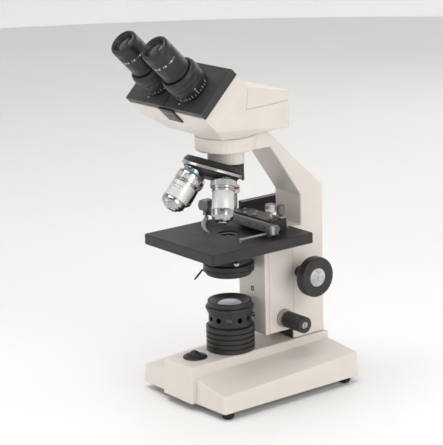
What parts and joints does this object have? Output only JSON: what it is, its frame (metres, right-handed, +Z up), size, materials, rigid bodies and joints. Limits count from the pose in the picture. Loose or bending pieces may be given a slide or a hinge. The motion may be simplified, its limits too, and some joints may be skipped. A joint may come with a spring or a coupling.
{
  "type": "binocular compound microscope",
  "caption": "Binocular compound microscope: cream stand with lamp, rack focus, square stage with slide mover, tilted turret of objectives and a sliding, turning eyepiece head.",
  "frame": {"origin": "middle of the footprint of the whole instrument's bounding box, on the desk", "axes": "+X is the user's right, +Y the back of the instrument (the arm's side), +Z up"},
  "size_m": [0.14, 0.2206, 0.3709],
  "materials": {
    "aluminium": "turned, satin",
    "black_anodised": "black anodised, satin",
    "black_plastic": "black, fine matt grain",
    "ceramic": "off-white, dull",
    "chrome": "bright chrome plate",
    "cream_paint": "cream enamel, semi-gloss",
    "gunmetal": "blackened steel, satin",
    "lens_glass": "polished and coated",
    "rubber": "black, matt",
    "stage_coating": "black wrinkle-free stage coating, matt",
    "steel": "ground"
  },
  "bodies": {
    "coarse_carriage": {"focus_block": "cream_paint"},
    "coarse_drive": {"coarse_cap_left": "aluminium", "coarse_cap_right": "aluminium", "coarse_knob_left": "black_plastic", "coarse_knob_right": "black_plastic", "coarse_shaft": "steel"},
    "dioptre_left": {"dioptre_left": "black_plastic"},
    "dioptre_right": {"dioptre_right": "black_plastic"},
    "eyepiece_left": {"eye_lens_left": "lens_glass", "eyepiece_left": "black_plastic"},
    "eyepiece_right": {"eye_lens_right": "lens_glass", "eyepiece_right": "black_plastic"},
    "fine_drive": {"fine_knob_left": "black_plastic", "fine_knob_right": "black_plastic", "fine_shaft": "chrome"},
    "fine_slide": {"condenser": "black_anodised", "condenser_lens": "lens_glass", "condenser_screw": "chrome", "fine_slide": "cream_paint", "stage": "stage_coating", "stage_rack": "steel", "stage_rail": "gunmetal"},
    "head": {"beam_splitter": "lens_glass", "head_bed": "black_anodised", "head_body": "cream_paint", "head_cover": "cream_paint", "spacing_scale": "black_anodised"},
    "iris_lever": {"iris_lever": "black_anodised"},
    "mechanical_carriage": {"stage_carriage": "black_anodised"},
    "rocker": {"switch_rocker": "black_plastic"},
    "slide_clip": {"slide_clip": "gunmetal"},
    "slide_left": {"slide_left": "black_anodised"},
    "slide_right": {"slide_right": "black_anodised"},
    "stand": {"arm": "cream_paint", "base": "cream_paint", "base_plate": "steel", "bulb": "lens_glass", "collector_lens": "lens_glass", "foot_front_left": "rubber", "foot_front_right": "rubber", "foot_rear_left": "rubber", "foot_rear_right": "rubber", "guide_rail": "black_anodised", "lamp_cap": "black_plastic", "lamp_housing": "black_plastic", "lamp_socket": "ceramic", "lamp_tube": "black_plastic", "nosepiece_disc": "black_anodised", "power_inlet": "black_plastic", "switch_bezel": "black_plastic"},
    "turret": {"objective_100x": "chrome", "objective_10x": "chrome", "objective_40x": "chrome", "objective_4x": "chrome", "turret": "black_anodised", "turret_ring": "chrome"},
    "x_knob": {"x_knob": "aluminium"},
    "x_slide": {"fixed_finger": "gunmetal", "x_bar": "gunmetal"},
    "y_knob": {"y_knob": "gunmetal"}
  },
  "joints": [
    {"name": "switch_rock", "type": "hinge", "parent": "stand", "child": "rocker", "pos_m": [0.00107, -0.04566, 0.0445], "axis": [1, 0, 0], "range_deg": [-16, 0]},
    {"name": "coarse_lift", "type": "slide", "parent": "stand", "child": "coarse_carriage", "axis": [0, 0, 1], "range_m": [-0.01, 0.0064]},
    {"name": "coarse_turn", "type": "hinge", "parent": "stand", "child": "coarse_drive", "pos_m": [0.00257, 0.07035, 0.1142], "axis": [1, 0, 0], "range_deg": [-62, 96]},
    {"name": "fine_turn", "type": "hinge", "parent": "coarse_carriage", "child": "fine_drive", "pos_m": [0.00257, 0.04965, 0.0698], "axis": [1, 0, 0], "range_deg": [-1812, 1812]},
    {"name": "fine_lift", "type": "slide", "parent": "coarse_carriage", "child": "fine_slide", "axis": [0, 0, 1], "range_m": [-0.001, 0.001]},
    {"name": "iris_turn", "type": "hinge", "parent": "fine_slide", "child": "iris_lever", "pos_m": [0.00257, -0.00215, 0.1252], "axis": [0, 0, 1], "range_deg": [-30, 30]},
    {"name": "stage_y", "type": "slide", "parent": "fine_slide", "child": "mechanical_carriage", "axis": [0, 1, 0], "range_m": [-0.0065, 0.01]},
    {"name": "y_knob_turn", "type": "hinge", "parent": "mechanical_carriage", "child": "y_knob", "pos_m": [0.03207, 0.04134, 0.1765], "axis": [0, 0, 1], "range_deg": [-118, 181]},
    {"name": "stage_x", "type": "slide", "parent": "mechanical_carriage", "child": "x_slide", "axis": [1, 0, 0], "range_m": [-0.02, 0.038]},
    {"name": "x_knob_turn", "type": "hinge", "parent": "mechanical_carriage", "child": "x_knob", "pos_m": [0.02757, 0.03204, 0.1765], "axis": [0, 0, 1], "range_deg": [-232, 438]},
    {"name": "clip_open", "type": "hinge", "parent": "x_slide", "child": "slide_clip", "pos_m": [-0.05493, 0.01504, 0.1672], "axis": [0, 0, 1], "range_deg": [-40, 0], "stiffness_Nm_per_rad": 0.05, "springref_deg": 11.46},
    {"name": "turret_turn", "type": "hinge", "parent": "stand", "child": "turret", "pos_m": [0.00257, -0.00215, 0.275], "axis": [0, -0.3665, -0.9304], "continuous": true},
    {"name": "head_turn", "type": "hinge", "parent": "stand", "child": "head", "pos_m": [0.00257, -0.00215, 0.2631], "axis": [0, 0, 1], "continuous": true},
    {"name": "spacing_right", "type": "slide", "parent": "head", "child": "slide_right", "axis": [1, 0, 0], "range_m": [0, 0.0135]},
    {"name": "spacing_left", "type": "slide", "parent": "head", "child": "slide_left", "axis": [-1, 0, 0], "range_m": [0, 0.0135]},
    {"name": "dioptre_turn_right", "type": "hinge", "parent": "slide_right", "child": "dioptre_right", "pos_m": [0.02732, -0.05802, 0.31855], "axis": [0, -0.7071, 0.7071], "range_deg": [-151, 151]},
    {"name": "eyepiece_lift_right", "type": "slide", "parent": "slide_right", "child": "eyepiece_right", "axis": [0, -0.7071, 0.7071], "range_m": [-0.00262, 0.00262]},
    {"name": "dioptre_turn_left", "type": "hinge", "parent": "slide_left", "child": "dioptre_left", "pos_m": [-0.02218, -0.05802, 0.31855], "axis": [0, -0.7071, 0.7071], "range_deg": [-151, 151]},
    {"name": "eyepiece_lift_left", "type": "slide", "parent": "slide_left", "child": "eyepiece_left", "axis": [0, -0.7071, 0.7071], "range_m": [-0.00262, 0.00262]}
  ],
  "couplings": [
    {"joint": "coarse_turn", "follows": "coarse_lift", "rad_per_m": -166.67},
    {"joint": "fine_turn", "follows": "fine_lift", "rad_per_m": 31416},
    {"joint": "y_knob_turn", "follows": "stage_y", "rad_per_m": 312.5},
    {"joint": "x_knob_turn", "follows": "stage_x", "rad_per_m": 200},
    {"joint": "spacing_left", "follows": "spacing_right", "ratio": 1},
    {"joint": "dioptre_turn_right", "follows": "eyepiece_lift_right", "rad_per_m": 1000},
    {"joint": "dioptre_turn_left", "follows": "eyepiece_lift_left", "rad_per_m": 1000}
  ]
}
